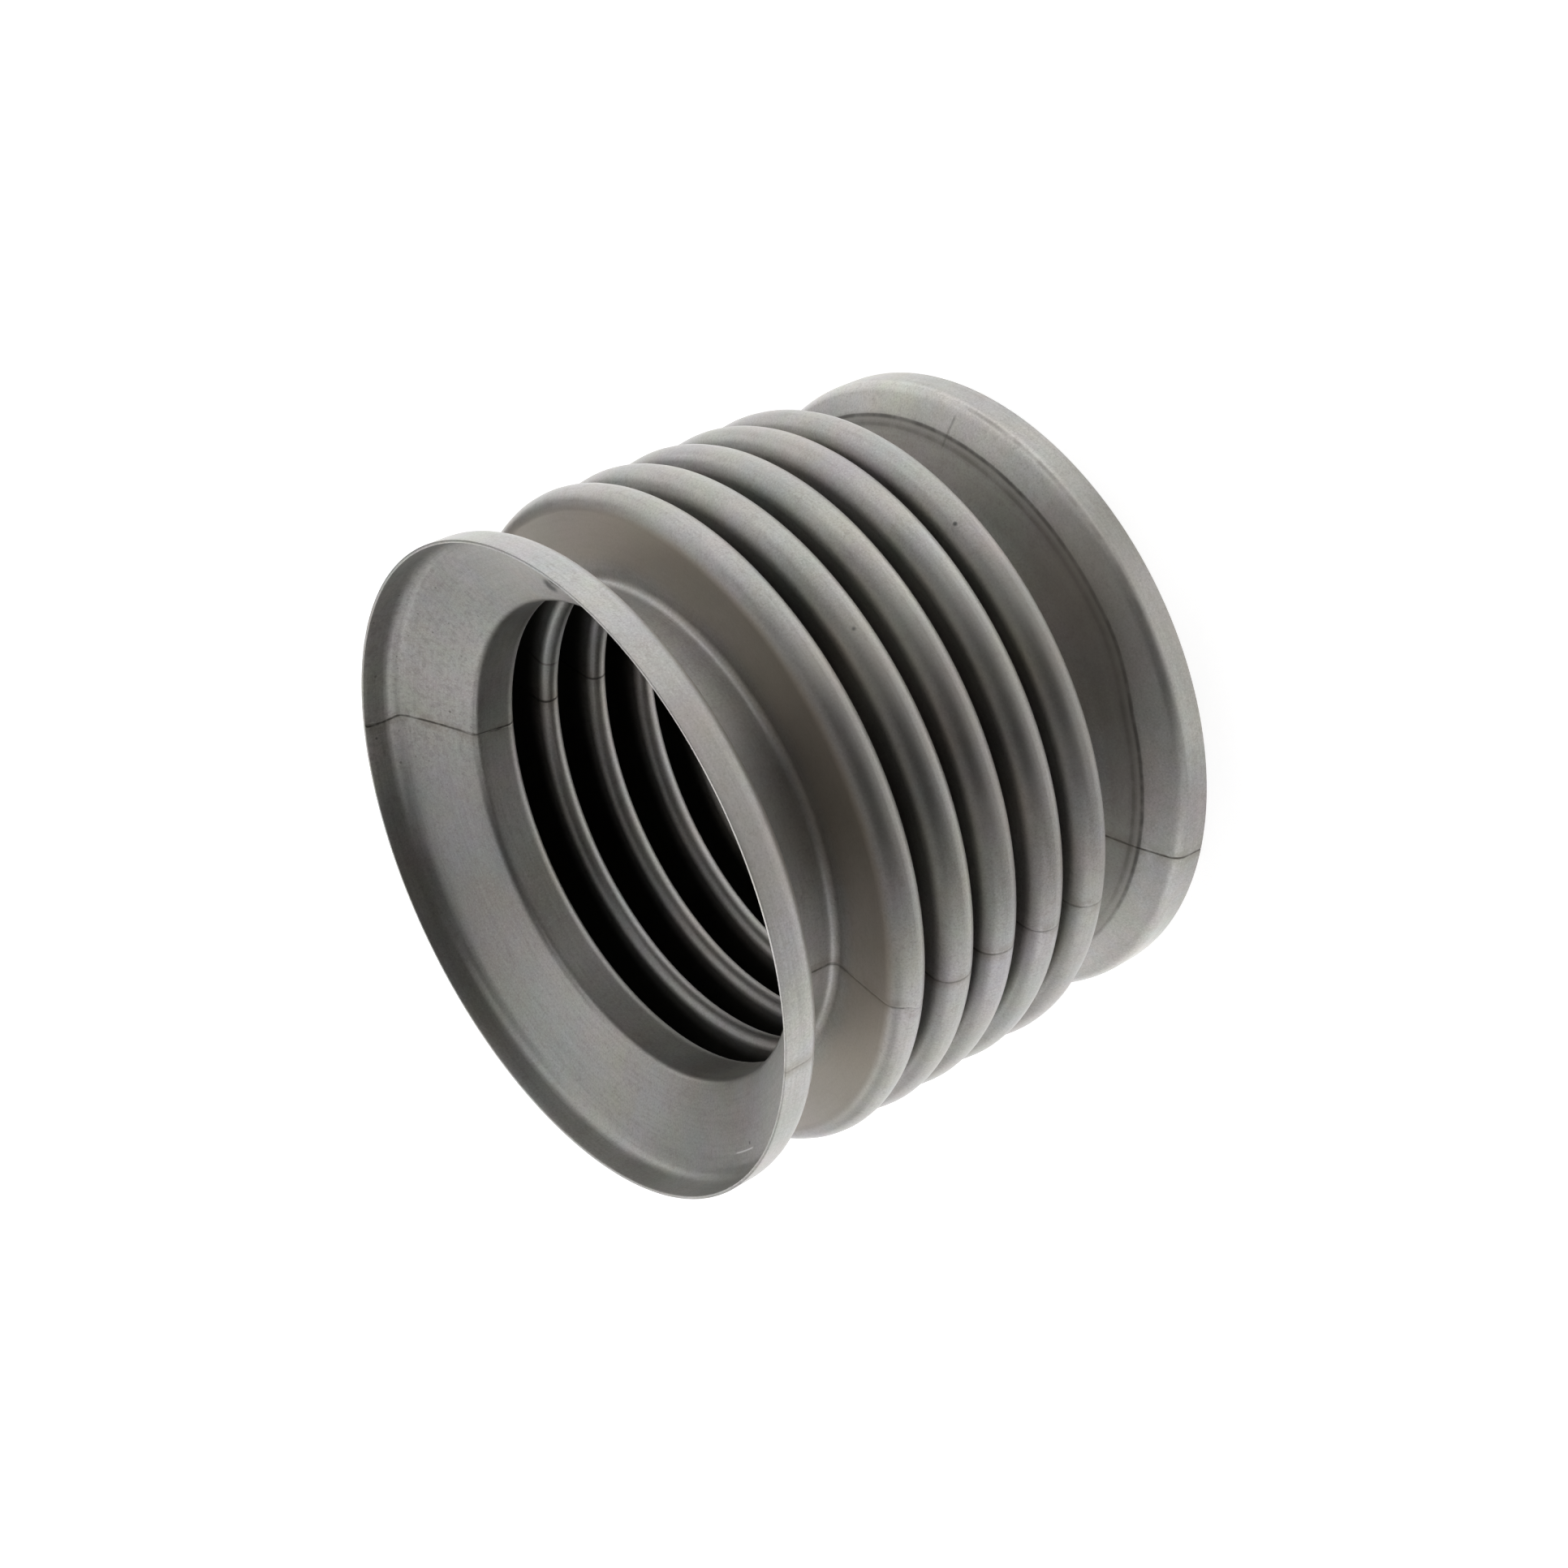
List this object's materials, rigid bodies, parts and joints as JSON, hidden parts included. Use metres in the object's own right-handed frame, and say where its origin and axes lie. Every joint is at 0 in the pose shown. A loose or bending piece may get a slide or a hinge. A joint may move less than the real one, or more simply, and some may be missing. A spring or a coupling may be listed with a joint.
{
  "type": "flexible exhaust pipe",
  "caption": "Short corrugated steel pipe that carries exhaust gas and flexes between two fixed pipe ends, flared to a straight lip at each end.",
  "frame": {"origin": "centre of the bottom lip's rim, on the plane that the pipe stands on", "axes": "+Z along the pipe's axis, from the bottom lip to the top lip"},
  "size_m": [0.0858, 0.0858, 0.0671],
  "materials": {
    "stainless": "matte, as pressed and pickled"
  },
  "bodies": {
    "root": {"bellows_pipe": "stainless"}
  },
  "joints": []
}
